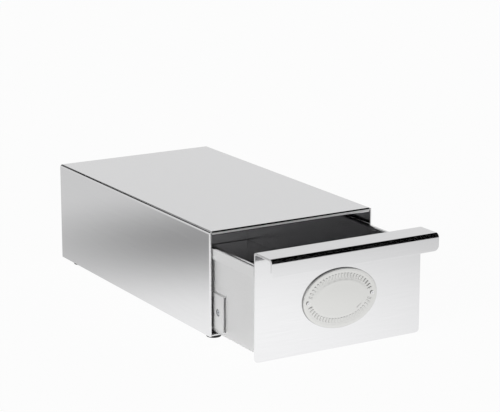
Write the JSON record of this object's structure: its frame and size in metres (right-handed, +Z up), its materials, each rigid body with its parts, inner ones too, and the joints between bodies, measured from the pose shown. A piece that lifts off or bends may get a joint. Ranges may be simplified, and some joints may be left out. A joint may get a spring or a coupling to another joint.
{
  "type": "coffee knock drawer",
  "caption": "Low steel cabinet for under a coffee grinder, with a sliding drawer that carries a lift-out waste bin, a rubber-sleeved knock bar and a folded pull lip.",
  "frame": {"origin": "on the surface it stands on, under the middle of the whole object as it stands at rest with the drawer partly open", "axes": "+Z up, -Y the way the drawer opens, +X to the right of someone who faces the drawer's front"},
  "size_m": [0.19, 0.4578, 0.11],
  "materials": {
    "polished_steel": "polished stainless steel sheet with a faint grain",
    "folded_steel": "satin stainless steel sheet",
    "zinc_steel": "bright zinc-plated steel",
    "black_rubber": "matt moulded rubber",
    "white_nylon": "natural nylon, smooth",
    "satin_badge": "pressed plate with a satin face and bright raised edges"
  },
  "bodies": {
    "cabinet": {"cabinet_shell": "polished_steel", "bottom_plate": "folded_steel", "rear_panel": "polished_steel", "rear_bracket_left": "folded_steel", "rear_bracket_right": "folded_steel", "rear_screw_upper_left": "zinc_steel", "rear_screw_upper_right": "zinc_steel", "rear_screw_lower_left": "zinc_steel", "rear_screw_lower_right": "zinc_steel", "guide_channel_left": "folded_steel", "guide_channel_right": "folded_steel", "glide_pad_lower_left": "white_nylon", "glide_pad_upper_left": "white_nylon", "glide_pad_lower_right": "white_nylon", "glide_pad_upper_right": "white_nylon", "foot_front_left": "black_rubber", "foot_front_right": "black_rubber", "foot_rear_left": "black_rubber", "foot_rear_right": "black_rubber", "foot_screw_front_left": "zinc_steel", "foot_screw_front_right": "zinc_steel", "foot_screw_rear_left": "zinc_steel", "foot_screw_rear_right": "zinc_steel"},
    "drawer": {"drawer_frame": "folded_steel", "front_panel": "polished_steel", "panel_nut_lower_left": "zinc_steel", "panel_nut_lower_right": "zinc_steel", "panel_nut_upper_left": "zinc_steel", "panel_nut_upper_right": "zinc_steel", "slide_rail_left": "folded_steel", "slide_rail_right": "folded_steel", "rail_shoe_left": "white_nylon", "rail_shoe_right": "white_nylon", "rail_screw_left_1": "zinc_steel", "rail_screw_left_2": "zinc_steel", "rail_screw_left_3": "zinc_steel", "rail_screw_left_4": "zinc_steel", "rail_screw_right_1": "zinc_steel", "rail_screw_right_2": "zinc_steel", "rail_screw_right_3": "zinc_steel", "rail_screw_right_4": "zinc_steel", "waste_bin": "polished_steel", "knock_bar_cradle_left": "polished_steel", "knock_bar_cradle_right": "polished_steel", "knock_bar_rod": "polished_steel", "knock_bar_sleeve": "black_rubber", "badge_plate": "satin_badge", "badge_pin_left": "polished_steel", "badge_pin_right": "polished_steel"}
  },
  "joints": [
    {"name": "drawer_slide", "type": "slide", "parent": "cabinet", "child": "drawer", "axis": [0, -1, 0], "range_m": [-0.0835, 0.1665]}
  ]
}
